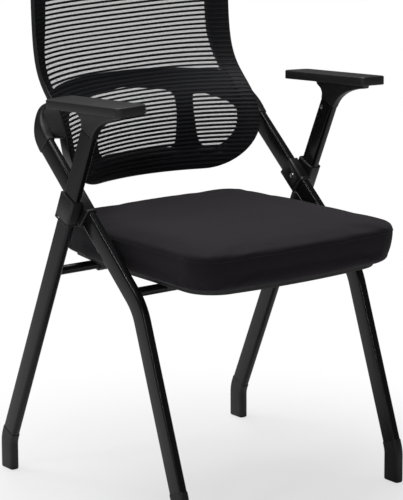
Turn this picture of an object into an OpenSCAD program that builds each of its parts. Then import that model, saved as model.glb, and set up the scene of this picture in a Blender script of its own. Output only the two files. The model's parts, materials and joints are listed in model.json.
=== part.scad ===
// Nesting chair: two pairs of legs that cross at a pivot, a dished mesh back and a seat that flips up.
// Millimetres. The sitter faces -Y, +Z is up, the floor is z = 0 and x = 0 is the plane of symmetry.

/* [Tubes] */
// Width of the flattened tubes, side to side
tube_w = 15; // [13:0.5:17]
// Depth of the flattened tubes, front to back
tube_d = 34; // [30:1:38]
// Corner radius of the flattened tubes
tube_r = 5; // [3:0.5:6]
// Wall thickness of every tube
tube_wall = 1.5; // [1:0.25:2]
// Diameter of the two round cross tubes
cross_d = 16; // [14:0.5:17]

/* [Stance] */
// Distance between the front legs, middle to middle
front_spread = 459; // [455:1:463]
// Gap between the collars of the front and rear legs
collar_gap = 3.5; // [2:0.1:6]
// Pivot axis behind the middle of the footprint
pivot_y = 52.5; // [40:0.5:65]
// Height of the pivot axis
pivot_z = 498.8; // [490:0.1:510]
// Lean of the front legs below the knee
front_leg_angle = 19.6; // [18:0.1:21]
// Lean of the front frame above the knee
back_tube_angle = 49; // [48:0.1:50]
// Lean of the rear legs
rear_leg_angle = 24.3; // [23:0.1:25]
// Height of the knee in the front frame
knee_z = 358.4; // [350:0.1:365]
// Bend radius of the knee
knee_r = 94; // [70:1:110]
// Height at which the legs turn upright
ankle_z = 55; // [50:1:60]
// Bend radius of the ankles
ankle_r = 50; // [40:1:60]
// Height of the front cross tube
front_cross_z = 378; // [375:0.5:382]
// Height of the rear cross tube, on which the seat turns
rear_cross_z = 383; // [380:0.5:384]

/* [Feet] */
// Height of the plastic boots
boot_h = 71; // [66:1:80]
// Wall of the boots
boot_wall = 1; // [0.8:0.1:2.5]
// Thickness of the boot under the end of the tube
boot_floor = 7; // [5:1:12]
// Rounding of the boot at the floor
boot_round = 3; // [1:0.5:4]

/* [Pivot] */
// Length of the collars along the tubes
collar_l = 50; // [44:1:56]
// Collar wall on the outer side of the rear leg and between the legs
collar_side = 4; // [3.5:0.1:4.2]
// Collar wall on the seat side of the front frame
collar_inner = 2; // [1.5:0.1:3]
// Collar wall in front of the tube
collar_front = 1.5; // [1:0.1:3]
// Collar wall behind the tube
collar_rear = 5; // [3:0.5:6]
// Chamfer round both ends of a collar
collar_chamfer = 2; // [1:0.5:3]
// Diameter of the pivot bolt
bolt_d = 8; // [6:0.5:8]
// Diameter of the bolt head
bolt_head_d = 13; // [11:0.5:14]
// Height of the bolt head
bolt_head_h = 3; // [2:0.5:4]
// Wall of the bush round the bolt
bush_wall = 1.5; // [1:0.25:2]
// Diameter of the bush flange between the collars
bush_flange_d = 24; // [18:1:28]
// Width of the nut across its flats
nut_flats = 13; // [11:0.5:13]
// Thickness of the nut
nut_h = 2.6; // [2:0.1:2.8]
// Diameter of the small collar screws
collar_screw_d = 4; // [3:0.5:5]

/* [Arms] */
// Distance from the pivot to the end of the rear tube
arm_seam_reach = 149.6; // [145:0.5:155]
// Length of an arm pad
pad_l = 216; // [190:1:220]
// Width of an arm pad
pad_w = 56.4; // [48:0.1:60]
// Thickness of an arm pad
pad_t = 15; // [12:0.1:17]
// Corner radius of an arm pad, seen from above
pad_r = 8; // [5:1:20]
// Rounding along the upper edge of an arm pad
pad_edge = 1.5; // [0.5:0.5:3]
// Height of the top of the pad at its middle
pad_z = 689.2; // [682:0.1:696]
// Middle of the pad, from the middle of the footprint
pad_y = -23.4; // [-30:0.1:-15]
// Rise of the pad towards the front, in degrees
pad_tilt = 3.1; // [0:0.1:4]
// Length of the plug inside the rear tube
stem_plug_l = 40; // [30:1:60]
// Thickness of the flange under the pad
stem_flange = 7.5; // [4:0.5:9]
// Reach of the flange in front of the pad's middle
stem_reach_front = 82; // [70:1:90]
// Reach of the flange behind the pad's middle
stem_reach_rear = 42; // [38:1:60]

/* [Back] */
// Gap between the back and the tubes beside it
back_gap = 13; // [9:0.5:20]
// How much narrower each side of the back is near its top
back_draw = 2; // [0:1:14]
// Lowest edge of the back
back_bottom = 506; // [500:1:515]
// Top edge of the back
back_top = 950; // [900:1:980]
// Radius of the lower corners
back_low_r = 95; // [80:1:100]
// Radius of the upper corners
back_high_r = 72; // [60:1:90]
// Place of the side rails below the bend, in front of everything above
back_low_y = 112.3; // [110:0.1:120]
// How far the rails step back above the bend
back_step = 110.2; // [90:0.1:120]
// Height of the middle of that step
back_step_z = 662.5; // [650:0.5:675]
// Softness of the step
back_step_soft = 53; // [45:1:70]
// Depth of the dish at the bottom of the back
dish_low = 75; // [60:1:80]
// How much shallower the dish is at the top
dish_drop = 53; // [50:0.5:68]
// Height at which the dish is half way between
dish_z = 728; // [710:1:745]
// Softness of that change
dish_soft = 62; // [50:1:80]
// How squarely the dish turns into the rails at the bottom, as a power
dish_square_low = 2; // [2:0.1:3]
// How squarely it turns into them at the top
dish_square_high = 6; // [2:0.1:8]
// Width of the frame's band below the bend
band_low = 21; // [16:1:26]
// Width of the frame's band at the top
band_high = 37; // [28:1:42]
// Depth of the frame below the bend
rim_low = 28; // [18:0.5:32]
// Depth of the frame at the top
rim_high = 14; // [12:0.5:18]

/* [Mesh] */
// Distance from strand to strand along the cloth
mesh_pitch = 8.7; // [8:0.1:12]
// Height of one strand
strand_h = 4.2; // [3:0.1:5]
// Thickness of the cloth
strand_t = 1.2; // [0.8:0.1:1.6]
// Width of the selvedge at each side
selvedge = 5; // [3:0.5:8]

/* [Lumbar plate] */
// Stand-off of the plate behind the mesh at its middle
plate_gap = 38; // [30:1:42]
// How much nearer to the mesh the plate's upper edge comes
plate_close = 23.5; // [0:0.5:28]
// How much nearer to the mesh the plate's foot comes
plate_tuck = 30; // [0:0.5:34]
// Thickness of the plate
plate_t = 3.5; // [2.5:0.1:5]
// Height of the plate's upper edge at its middle
plate_top = 684; // [675:1:695]
// How far that edge falls towards the sides
plate_arch = 13; // [0:1:20]
// Rim of the plate under the windows
window_foot = 14; // [8:0.5:30]
// Rim of the plate over the windows
window_rim = 36; // [24:1:60]
// Half the width of the middle window at its foot
window_low_half = 83; // [70:1:86]
// Half the width of the middle window at its head
window_high_half = 98; // [85:1:102]
// Corner radius of the middle window
window_r = 16; // [8:1:24]
// Width of the bars between the windows, at their foot
bar_w = 37; // [30:1:44]
// Rim of the plate beside the side windows
side_rim = 4; // [3:0.5:10]
// Corner radius of a side window
side_window_r = 26; // [10:1:30]

/* [Back brackets] */
// Distance from the pivot to the lower end of a bracket, along the tube
bracket_reach = 136; // [130:0.5:142]
// Length of tube that goes into a bracket
bracket_lap = 12; // [8:1:16]
// Wall of a bracket round the tube
bracket_wall = 1.4; // [1:0.1:2]
// Length of the tongue inside the tube
tongue_l = 40; // [30:1:60]
// Radius of the bulge behind the tube's end
bulge_r = 9; // [7:0.5:11]
// Place of the upper bulge behind the tube's end
bulge_back = 19.5; // [8:0.5:24]
// Height of the upper bulge above the tube's end
bulge_up = 38; // [24:1:46]
// Lower end of the seat of a bracket on the rail
bracket_low = 600; // [595:1:605]
// Upper end of the seat of a bracket on the rail
bracket_high = 668; // [660:1:675]
// Diameter of the screws that hold the back
back_screw_d = 4; // [3:0.5:5]

/* [Seat] */
// Gap between the cushion and the tubes beside it
seat_gap = 7; // [4:0.5:16]
// How much each side of the cushion draws in at its rear corner
seat_draw = 15; // [8:0.5:30]
// Front edge of the cushion
seat_front = -270.5; // [-280:0.5:-260]
// Rear edge of the cushion
seat_rear = 185; // [175:1:190]
// Bow of the front edge
seat_bow = 8; // [2:1:14]
// Radius of the front corners
seat_front_r = 58; // [50:1:80]
// Radius of the rear corners
seat_rear_r = 50; // [40:1:70]
// Where the sides begin to draw in towards the rear
seat_taper_y = 0; // [-20:1:20]
// Underside of the seat pan
pan_z = 392; // [392:0.5:394]
// Thickness of the seat pan
pan_t = 8; // [6:0.5:12]
// How far the pan's edge stays inside the cushion
pan_inset = 24; // [12:1:30]
// Height of the cushion from the pan to its seam
cushion_h = 60; // [50:0.5:64]
// Rise of the cushion's crown above its seam
cushion_crown = 10; // [4:0.5:14]
// How far the cushion's foot draws in
cushion_tuck = 14; // [8:1:20]

/* [Seat fittings] */
// Distance of the hinges and rests from the middle
hinge_x = 150; // [130:1:170]
// Width of a hinge or rest
hinge_w = 30; // [24:1:36]
// Wall of a hinge under the tube
hinge_wall = 3.5; // [2.5:0.5:5]
// Thickness of the flanges of a hinge
hinge_flange = 4; // [3:0.5:5]
// Length of each flange, from the tube's middle
hinge_reach = 32; // [28:1:36]
// Diameter of the seat screws
seat_screw_d = 4; // [3:0.5:5]
// Height of the seat screws' heads
seat_screw_head = 2.5; // [2:0.5:3]

/* [Hidden] */

// Clearance of parts that turn on each other, and of parts that only lie together
running = 0.05;
loose = 0.15;
soft_gap = 0.3;
overrun = 1;
// A short step along a curve, to find its slope
probe = 1;
$fn = 48;

front_x = front_spread / 2;
rear_x = front_x + tube_w + 2 * collar_side + collar_gap;
front_inner = front_x - tube_w / 2;
back_half = front_inner - back_gap;
back_top_half = back_half - back_draw;
seat_half = front_inner - seat_gap;
seat_rear_half = seat_half - seat_draw;
rear_inner = rear_x - tube_w / 2;
pivot = [pivot_y, pivot_z];
knee = [pivot_y - (pivot_z - knee_z) * tan(back_tube_angle), knee_z];
front_ankle = [knee[0] - (knee_z - ankle_z) * tan(front_leg_angle), ankle_z];
rear_ankle = [pivot_y + (pivot_z - ankle_z) * tan(rear_leg_angle), ankle_z];
front_cross_y = knee[0] + (front_cross_z - knee_z) * tan(back_tube_angle);
rear_cross_y = pivot_y + (pivot_z - rear_cross_z) * tan(rear_leg_angle);
back_way = [sin(back_tube_angle), cos(back_tube_angle)];
arm_way = [-sin(rear_leg_angle), cos(rear_leg_angle)];
front_tube_end = pivot + (bracket_reach + bracket_lap) * back_way;
rear_tube_end = pivot + arm_seam_reach * arm_way;
front_path = [[front_ankle[0], boot_floor], front_ankle, knee, front_tube_end];
rear_path = [[rear_ankle[0], boot_floor], rear_ankle, rear_tube_end];
front_bends = [0, ankle_r, knee_r, 0];
rear_bends = [0, ankle_r, 0];

// Places across the pivot, from the seat side outwards
front_collar_in = front_inner - collar_inner;
front_collar_out = front_x + tube_w / 2 + collar_side;
rear_collar_in = rear_inner - collar_side;
rear_collar_out = rear_x + tube_w / 2 + collar_side;
nut_x = rear_x + tube_w / 2 + loose;

// Paths in the Y-Z plane: points, how far each bend eats into its straights, and the turn at each point
function heading(a, b) = atan2(b[1] - a[1], b[0] - a[0]);
function turn_at(p, i) = heading(p[i], p[i + 1]) - heading(p[i - 1], p[i]);
function toward(a, b, s) = a + (b - a) * s / norm(b - a);
function normal_at(way) = [-sin(way), cos(way)];
bend_step = 6;
function bend_stations(p, r, i) = let (turn = turn_at(p, i), side = turn > 0 ? 1 : -1,
  start = toward(p[i], p[i - 1], r[i] * tan(abs(turn) / 2)), way = heading(p[i - 1], p[i]),
  centre = start + side * r[i] * normal_at(way), n = ceil(abs(turn) / bend_step))
  [for (k = [0:n]) let (h = way + turn * k / n) [centre - side * r[i] * normal_at(h), h]];
function stations(p, r) = concat([[p[0], heading(p[0], p[1])]],
  [for (i = [1:len(p) - 2]) each bend_stations(p, r, i)],
  [[p[len(p) - 1], heading(p[len(p) - 2], p[len(p) - 1])]]);

// Rounded section of a flattened tube as points, and as an exact outline
corner_turns = 2;
function section_points(grow) = let (r = tube_r + grow, u = tube_w / 2 - tube_r, v = tube_d / 2 - tube_r)
  [for (q = [0:3], k = [0:corner_turns]) let (a = 90 * (q + k / corner_turns))
    [(q == 0 || q == 3 ? u : -u) + r * cos(a), (q < 2 ? v : -v) + r * sin(a)]];
function ring_at(x, s, grow) = [for (q = section_points(grow))
  [x + q[0], s[0][0] + q[1] * sin(s[1]), s[0][1] - q[1] * cos(s[1])]];
function backwards(list) = [for (i = [len(list) - 1:-1:0]) list[i]];

// Skin over a row of rings with the same number of points, closed on itself or capped at both ends
function skin_faces(rings, n, last) = [for (i = [0:last], j = [0:n - 1])
  let (i2 = (i + 1) % rings, j2 = (j + 1) % n)
  each [[i * n + j, i2 * n + j2, i * n + j2], [i * n + j, i2 * n + j, i2 * n + j2]]];
module looped(rings) {
  n = len(rings[0]);
  polyhedron([for (r = rings) each r], skin_faces(len(rings), n, len(rings) - 1));
}
module capped(rings, base, top) {
  n = len(rings[0]);
  count = len(rings);
  caps = [for (j = [0:n - 1]) let (j2 = (j + 1) % n, last = (count - 1) * n)
    each [[count * n, j, j2], [count * n + 1, last + j2, last + j]]];
  polyhedron(concat([for (r = rings) each r], [base, top]), concat(skin_faces(count, n, count - 2), caps));
}

module rounded(x0, x1, y0, y1, r) {
  translate([x0 + r, y0]) square([x1 - x0 - 2 * r, y1 - y0]);
  translate([x0, y0 + r]) square([x1 - x0, y1 - y0 - 2 * r]);
  for (x = [x0 + r, x1 - r], y = [y0 + r, y1 - r]) translate([x, y]) circle(r);
}

module tube_section(grow = 0) {
  w = tube_w / 2 + grow;
  d = tube_d / 2 + grow;
  rounded(-w, w, -d, d, tube_r + grow);
}

module straight(a, b, grow) {
  translate([0, a[0], a[1]])
    rotate([heading(a, b) - 90, 0, 0])
      linear_extrude(norm(b - a)) tube_section(grow);
}

module bent_tube(x, p, r) {
  way = stations(p, r);
  looped(concat([for (s = way) ring_at(x, s, 0)], [for (s = backwards(way)) ring_at(x, s, -tube_wall)]));
}

module bar_along_x(from, to, r) {
  translate([from, 0, 0]) rotate([0, 90, 0]) cylinder(h = to - from, r = r);
}

module at_pivot(lean = 0) {
  translate([0, pivot_y, pivot_z]) rotate([lean, 0, 0]) children();
}

module left() {
  mirror([1, 0, 0]) children();
}

module front_tube() {
  color([0.16, 0.16, 0.17]) difference() {
    bent_tube(front_x, front_path, front_bends);
    at_pivot() bar_along_x(front_inner - overrun, front_x + tube_w / 2 + overrun, bolt_d / 2 + loose);
  }
}

module rear_tube() {
  color([0.16, 0.16, 0.17]) difference() {
    bent_tube(rear_x, rear_path, rear_bends);
    at_pivot() bar_along_x(rear_inner - overrun, rear_x + tube_w / 2 + overrun, bush_r + loose);
    stem_screw_place() bar_along_x(rear_inner - overrun, rear_x, seat_screw_d / 2 + loose);
  }
}

module cross_tube(y, z, half) {
  color([0.16, 0.16, 0.17]) translate([0, y, z]) difference() {
    bar_along_x(-half, half, cross_d / 2);
    bar_along_x(-half - overrun, half + overrun, cross_d / 2 - tube_wall);
  }
}

// A boot follows the ankle, closes under the tube and ends in a rounded sole
module boot(x, p, r) {
  leg_top = toward(p[1], p[2], (boot_h - ankle_z) / sin(heading(p[1], p[2])));
  foot = p[0][0];
  inside = stations([p[0], p[1], leg_top], r);
  outside = stations([[foot, boot_round], p[1], leg_top], r);
  color([0.12, 0.12, 0.13])
    capped(concat([ring_at(x, [[foot, 0], 90], boot_wall - boot_round)],
      [for (s = outside) ring_at(x, s, boot_wall)], [for (s = backwards(inside)) ring_at(x, s, 0)]),
      [x, foot, 0], [x, foot, boot_floor]);
}

// A collar wraps the tube at the pivot, thicker behind it and between the two frames
module collar(x, in_wall, out_wall, lean) {
  half_l = collar_l / 2;
  x0 = x - tube_w / 2 - in_wall;
  x1 = x + tube_w / 2 + out_wall;
  y0 = -tube_d / 2 - collar_front;
  y1 = tube_d / 2 + collar_rear;
  c = collar_chamfer;
  color([0.13, 0.13, 0.14]) difference() {
    at_pivot(lean) intersection() {
      translate([0, 0, -half_l]) linear_extrude(collar_l) rounded(x0, x1, y0, y1, tube_r);
      translate([x0 - overrun, 0, 0]) rotate([90, 0, 90]) linear_extrude(x1 - x0 + 2 * overrun)
        chamfered(y0, y1, half_l, c);
      translate([0, y1 + overrun, 0]) rotate([90, 0, 0]) linear_extrude(y1 - y0 + 2 * overrun)
        chamfered(x0, x1, half_l, c / 2);
    }
    at_pivot(lean) translate([x, 0, -half_l - overrun])
      linear_extrude(collar_l + 2 * overrun) tube_section(running);
    at_pivot(lean) difference() {
      translate([x0 - overrun, y0 - overrun, 3 * c - half_l])
        cube([x1 - x0 + 2 * overrun, y1 - y0 + 2 * overrun, groove]);
      translate([0, 0, 2 * c - half_l]) linear_extrude(2 * c)
        rounded(x0 + groove, x1 - groove, y0 + groove, y1 - groove, tube_r - groove);
    }
    at_pivot() children();
  }
}

module chamfered(u0, u1, half_l, c) {
  far = half_l + overrun;
  near = half_l - c;
  polygon([[u0, -near], [u0 + c + overrun, -far], [u1 - c - overrun, -far], [u1, -near],
    [u1, near], [u1 - c - overrun, far], [u0 + c + overrun, far], [u0, near]]);
}

groove = 0.5;
collar_screw_local = [tube_d / 4, -collar_l / 2 + 3 * collar_chamfer];
collar_screw_in = rear_x + tube_w / 2 + collar_side / 2;

module front_collar() {
  collar(front_x, collar_inner, collar_side, -back_tube_angle) {
    bar_along_x(front_collar_in - overrun, front_inner + overrun, bolt_head_d / 2 + loose);
    bar_along_x(front_x, front_collar_out + overrun, bolt_d / 2 + loose);
  }
}

module rear_collar() {
  collar(rear_x, collar_side, collar_side, rear_leg_angle) {
    bar_along_x(rear_collar_in - overrun, rear_inner + overrun, bush_r + loose);
    bar_along_x(rear_x, nut_x + nut_h + 2 * loose, nut_flats / sqrt(3) + 3 * loose);
    rotate([rear_leg_angle, 0, 0]) translate([0, collar_screw_local[0], collar_screw_local[1]])
      bar_along_x(collar_screw_in, rear_collar_out + overrun, collar_screw_d / 2 + loose);
  }
}

// Small countersunk screws that close the rear collars
module collar_screw() {
  color("silver") at_pivot(rear_leg_angle) translate([0, collar_screw_local[0], collar_screw_local[1]])
    bar_along_x(collar_screw_in, rear_collar_out, collar_screw_d / 2);
}

bush_r = bolt_d / 2 + running + bush_wall;

// Domed bolt that carries both frames on each side
module pivot_bolt() {
  dome_r = (bolt_head_d * bolt_head_d / 4 + bolt_head_h * bolt_head_h) / (2 * bolt_head_h);
  color("silver") at_pivot() {
    bar_along_x(front_inner, nut_x + nut_h, bolt_d / 2);
    intersection() {
      bar_along_x(front_inner - bolt_head_h, front_inner, bolt_head_d / 2);
      translate([front_inner - bolt_head_h + dome_r, 0, 0]) sphere(dome_r, $fn = 64);
    }
  }
}

module pivot_nut() {
  color("silver") at_pivot() difference() {
    translate([nut_x, 0, 0]) rotate([0, 90, 0]) cylinder(h = nut_h, r = nut_flats / sqrt(3), $fn = 6);
    bar_along_x(nut_x - overrun, nut_x + nut_h + overrun, bolt_d / 2 + running);
  }
}

// Flanged bush: the flange is the spacer between the two collars
module pivot_bush() {
  color([0.85, 0.85, 0.82]) at_pivot() difference() {
    union() {
      bar_along_x(front_collar_out + loose, rear_collar_in, bush_flange_d / 2);
      bar_along_x(front_collar_out + loose, rear_x + tube_w / 2, bush_r);
    }
    bar_along_x(front_collar_out - overrun, rear_collar_out, bolt_d / 2 + running);
  }
}

// Quadratic curve through a corner, used for every rounded outline
function curve(a, b, c, n) = [for (i = [0:n]) let (t = i / n)
  (1 - t) * (1 - t) * a + 2 * t * (1 - t) * b + t * t * c];
function soft_outline(p, r, n) = [for (i = [0:len(p) - 1])
  let (a = p[(i + len(p) - 1) % len(p)], b = p[i], c = p[(i + 1) % len(p)])
  each curve(toward(b, a, min(r, norm(a - b) / 2)), b, toward(b, c, min(r, norm(c - b) / 2)), n)];

// The pad's own frame: its middle on the underside, tilted
pad_under = pad_z - pad_t;
function on_pad(y, z) = [pad_y + y * cos(pad_tilt) + z * sin(pad_tilt),
  pad_under - y * sin(pad_tilt) + z * cos(pad_tilt)];

// A plug in the tube's end that spreads into a flange under the pad
arm_normal = [cos(rear_leg_angle), sin(rear_leg_angle)];
neck_front = rear_tube_end - tube_d / 2 * arm_normal;
neck_rear = rear_tube_end + tube_d / 2 * arm_normal;
stem_front_share = 0.2;
stem_neck_share = 0.7;
flange_front = on_pad(-stem_reach_front, -stem_flange);
flange_rear = on_pad(stem_reach_rear, -stem_flange);
stem_front_ctrl = [neck_front[0] + stem_front_share * (flange_front[0] - neck_front[0]),
  neck_front[1] + (1 - stem_front_share) * (flange_front[1] - neck_front[1])];
stem_rear_ctrl = neck_rear + stem_neck_share * (flange_rear[1] - neck_rear[1]) * arm_way;

module arm_stem() {
  profile = concat([on_pad(-stem_reach_front - stem_flange / 2, 0)],
    curve(flange_front, stem_front_ctrl, neck_front, 14),
    curve(neck_rear, stem_rear_ctrl, flange_rear, 8), [on_pad(stem_reach_rear + stem_flange / 2, 0)]);
  plug_start = rear_tube_end - stem_plug_l * arm_way;
  color([0.13, 0.13, 0.14]) difference() {
    union() {
      translate([rear_inner, 0, 0]) rotate([90, 0, 90]) linear_extrude(tube_w) polygon(profile);
      translate([rear_x, 0, 0]) straight(plug_start, rear_tube_end + overrun * arm_way, plug_grow);
    }
    stem_screw_place() bar_along_x(rear_inner - overrun, rear_x, seat_screw_d / 2);
    for (y = pad_screw_places) pad_screw_at(y) cylinder(h = pad_screw_l, r = seat_screw_d / 2 + loose);
  }
}

// Plugs stay clear of the inside of their tubes
plug_grow = -tube_wall - soft_gap;
pad_screw_places = [-stem_reach_front / 2, stem_reach_rear / 3];
pad_screw_l = stem_flange + pad_t / 2;

module pad_screw_at(y) {
  place = on_pad(y, -stem_flange);
  translate([rear_x, place[0], place[1]]) rotate([-pad_tilt, 0, 0]) children();
}

module stem_screw_place() {
  place = rear_tube_end - stem_plug_l / 3 * arm_way + tube_d / 4 * arm_normal;
  translate([0, place[0], place[1]]) children();
}

module arm_pad() {
  color([0.24, 0.24, 0.25]) difference() {
    translate([rear_x, pad_y, pad_under]) rotate([-pad_tilt, 0, 0])
      hull() for (s = [[0, 0], [pad_t - pad_edge, 0], [pad_t - loose, pad_edge]])
        translate([0, 0, s[0]]) linear_extrude(loose)
          for (x = [-1, 1], y = [-1, 1])
            translate([x * (pad_w / 2 - pad_r), y * (pad_l / 2 - pad_r)]) circle(pad_r - s[1], $fn = 32);
    for (y = pad_screw_places)
      pad_screw_at(y) cylinder(h = pad_screw_l + loose, r = seat_screw_d / 2 + running);
  }
}

// Screws: one holds the plug in the tube and two hold the pad on the flange
module arm_screw_set() {
  color("silver") {
    stem_screw_place() {
      bar_along_x(rear_inner, rear_x, seat_screw_d / 2);
      bar_along_x(rear_inner - tube_wall / 2, rear_inner, seat_screw_d);
    }
    for (y = pad_screw_places) pad_screw_at(y) cylinder(h = pad_screw_l, r = seat_screw_d / 2);
  }
}

// Surface of the back: side rails that step back above the lap, and a dish between them
function soft_step(t, soft) = (1 + t / sqrt(t * t + soft * soft)) / 2;
function rail_y(z) = back_low_y + back_step * soft_step(z - back_step_z, back_step_soft);
function dish(z) = dish_low - dish_drop * soft_step(z - dish_z, dish_soft);
function share_across(x) = min(1, abs(x) / back_half);
function dish_power(z) = dish_square_low
  + (dish_square_high - dish_square_low) * soft_step(z - dish_z, dish_soft);
function back_y(x, z) = rail_y(z) + dish(z) * (1 - pow(share_across(x), dish_power(z)));
function band(z) = band_low + (band_high - band_low) * soft_step(z - dish_z, dish_soft);
function rim(z) = rim_low - (rim_low - rim_high) * soft_step(z - back_step_z, back_step_soft);

// Outline of the back as a loop of stations, each with its place and its inward direction
corner_steps = 8;
side_steps = 24;
level_steps = 10;
low_centre = [back_half - back_low_r, back_bottom + back_low_r];
high_centre = [back_top_half - back_high_r, back_top - back_high_r];
function arc_stations(c, r, from) = [for (i = [0:corner_steps]) let (a = from + 90 * i / corner_steps)
  [c + r * [cos(a), sin(a)], -[cos(a), sin(a)]]];
function between(a, b, n) = [for (i = [1:n - 1]) a + (b - a) * i / n];
right_half = let (low = arc_stations(low_centre, back_low_r, -90),
  high = arc_stations(high_centre, back_high_r, 0))
  concat(low, between(low[corner_steps], high[0], side_steps), high);
left_half = [for (i = [len(right_half) - 1:-1:0]) let (s = right_half[i])
  [[-s[0][0], s[0][1]], [-s[1][0], s[1][1]]]];
back_loop = concat(right_half, between(right_half[len(right_half) - 1], left_half[0], level_steps),
  left_half, between(left_half[len(left_half) - 1], right_half[0], level_steps));

// Half the width inside the outline at a height, less an inset
function arc_half(c, r, z, inset) = c[0] + sqrt(max(0, pow(r - inset, 2) - pow(z - c[1], 2)));
function half_at(z, inset) = z < low_centre[1] ? arc_half(low_centre, back_low_r, z, inset)
  : z > high_centre[1] ? arc_half(high_centre, back_high_r, z, inset)
  : back_half - inset - (back_half - back_top_half) * (z - low_centre[1]) / (high_centre[1] - low_centre[1]);

frame_edge = 3;
function frame_ring(s) = let (b = band(s[0][1]), d = rim(s[0][1]), e = frame_edge)
  [for (q = [[0, e], [e, 0], [b / 3, 0], [b - e, 0], [b, e], [b, d - e], [b - e, d], [e, d], [0, d - e]])
    let (p = s[0] + q[0] * s[1]) [p[0], back_y(p[0], p[1]) + q[1], p[1]]];

// The moulded frame: a rim swept round the outline, its front face on the back's surface
module back_frame() {
  rings = [for (s = backwards(back_loop)) frame_ring(s)];
  color([0.12, 0.12, 0.13]) difference() {
    looped(rings);
    for (side = [-1, 1], z = back_screw_z) back_screw_hole(side, z);
  }
}

// Faces of a thin sheet on a grid, with a wall wherever a filled cell meets an open one
function sheet_faces(rows, cols, filled) = let (n = (rows + 1) * (cols + 1), w = cols + 1)
  [for (i = [0:rows - 1], j = [0:cols - 1]) if (filled(i, j))
    let (a = i * w + j, b = a + 1, d = a + w, c = d + 1)
    each concat([[a, b, c], [a, c, d], [a + n, c + n, b + n], [a + n, d + n, c + n]],
      i == 0 || !filled(i - 1, j) ? [[a, a + n, b + n], [a, b + n, b]] : [],
      i == rows - 1 || !filled(i + 1, j) ? [[d, c + n, d + n], [d, c, c + n]] : [],
      j == 0 || !filled(i, j - 1) ? [[a, d + n, a + n], [a, d, d + n]] : [],
      j == cols - 1 || !filled(i, j + 1) ? [[b, b + n, c + n], [b, c + n, c]] : [])];

// Heights of the strands: each next one lies one pitch further along the slope of the cloth
function lean_at(z) = atan2(back_y(0, z + probe) - back_y(0, z), probe);
function climb(z, last) = z > last ? [] : concat([z], climb(z + mesh_pitch * cos(lean_at(z)), last));
strands = climb(back_bottom + mesh_pitch, back_top - mesh_pitch);
strand_edges = [for (z = strands) let (half = strand_h / 2 * cos(lean_at(z))) each [z - half, z + half]];
mesh_cols = 10;
function mesh_x(j, z) = let (out = half_at(z, strand_t), in = out - selvedge)
  j == 0 ? -out : j == mesh_cols ? out : in * (2 * (j - 1) / (mesh_cols - 2) - 1);

module back_mesh() {
  function layer(y) = [for (z = strand_edges, j = [0:mesh_cols]) let (x = mesh_x(j, z))
    [x, back_y(x, z) + y, z]];
  cloth = function (i, j) i % 2 == 0 || j == 0 || j == mesh_cols - 1;
  color([0.1, 0.1, 0.11])
    polyhedron(concat(layer(-2 * soft_gap), layer(-2 * soft_gap - strand_t)),
      sheet_faces(len(strand_edges) - 1, mesh_cols, cloth));
}

// The plate stands further behind the mesh in the middle than at the sides
plate_rows = 8;
plate_cols = 24;
plate_foot = back_bottom + band(back_bottom) + soft_gap;
window_z = plate_foot + window_foot;
window_h = plate_top - window_rim - window_z;
window_head = window_z + window_h;
function share_above(z) = max(0, z - window_head) / (plate_top - window_head);
function share_below(z) = max(0, window_z - z) / (window_z - plate_foot);
function plate_y(x, z) = back_y(x, z)
  + (plate_gap - plate_close * share_above(z) - plate_tuck * share_below(z)) * (1 - pow(share_across(x), 4));
function plate_head(x) = plate_top - plate_arch * pow(share_across(x), 2);
function plate_half(z) = half_at(z, band(z) + soft_gap);
function plate_z(i, u) = plate_foot + (plate_head(u * back_half) - plate_foot) * i / plate_rows;
function plate_point(i, j, t) = let (u = 2 * j / plate_cols - 1, z = plate_z(i, u),
  x = u * plate_half(z))
  [x, plate_y(x, z) + t, z];
// A side window: its inner side and head as shares of its box, then the heights along its outer side
side_inner_share = [[0.06, 0], [0, 0.55], [0.12, 0.92], [0.45, 0.88]];
side_outer_share = [0.72, 0.5, 0.3, 0.14, 0];
side_window_x = window_low_half + bar_w;

module window_cut(p) {
  translate([0, back_low_y + back_step + dish_low + plate_gap, 0]) rotate([90, 0, 0])
    linear_extrude(back_step + dish_low + plate_gap) polygon(p);
}

module lumbar_plate() {
  middle = [[-window_low_half, window_z], [window_low_half, window_z],
    [window_high_half, window_z + window_h - plate_arch / 2], [0, window_z + window_h + plate_arch / 2],
    [-window_high_half, window_z + window_h - plate_arch / 2]];
  beside_w = plate_half(low_centre[1]) - side_rim - side_window_x;
  beside = concat([for (s = side_inner_share) [side_window_x + s[0] * beside_w, window_z + s[1] * window_h]],
    [for (s = side_outer_share) let (z = window_z + s * window_h) [plate_half(z) - side_rim, z]]);
  full = function (i, j) true;
  color([0.11, 0.11, 0.12]) difference() {
    polyhedron([for (t = [plate_t, 0], i = [0:plate_rows], j = [0:plate_cols]) plate_point(i, j, t)],
      sheet_faces(plate_rows, plate_cols, full));
    window_cut(soft_outline(middle, window_r, 6));
    window_cut(soft_outline(beside, side_window_r, 5));
    window_cut([for (q = soft_outline(beside, side_window_r, 5)) [-q[0], q[1]]]);
  }
}

// Screws run from a recess inside the frame's band into the brackets
back_screw_inset = (bracket_high - bracket_low) / 4;
back_screw_z = [bracket_low + back_screw_inset, bracket_high - back_screw_inset];
back_screw_start = 2 * back_screw_d;
function band_middle(z) = (back_y(back_half - band(z), z) + rail_y(z) + rim(z)) / 2;
function screw_seat(z) = back_screw_start + band(z) * 3 / 4;
module back_screw_place(side, z) {
  translate([side * (back_half + back_screw_start), band_middle(z), z]) rotate([0, -90 * side, 0]) children();
}
module back_screw_hole(side, z) {
  back_screw_place(side, z) {
    cylinder(h = screw_seat(z), r = back_screw_d / 2 + loose);
    translate([0, 0, screw_seat(z)]) cylinder(h = band(z), r = back_screw_d + loose);
  }
}
module back_screw(side, z) {
  color("silver") back_screw_place(side, z) {
    cylinder(h = screw_seat(z), r = back_screw_d / 2);
    translate([0, 0, screw_seat(z)]) cylinder(h = back_screw_d / 2, r = back_screw_d);
  }
}

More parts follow.
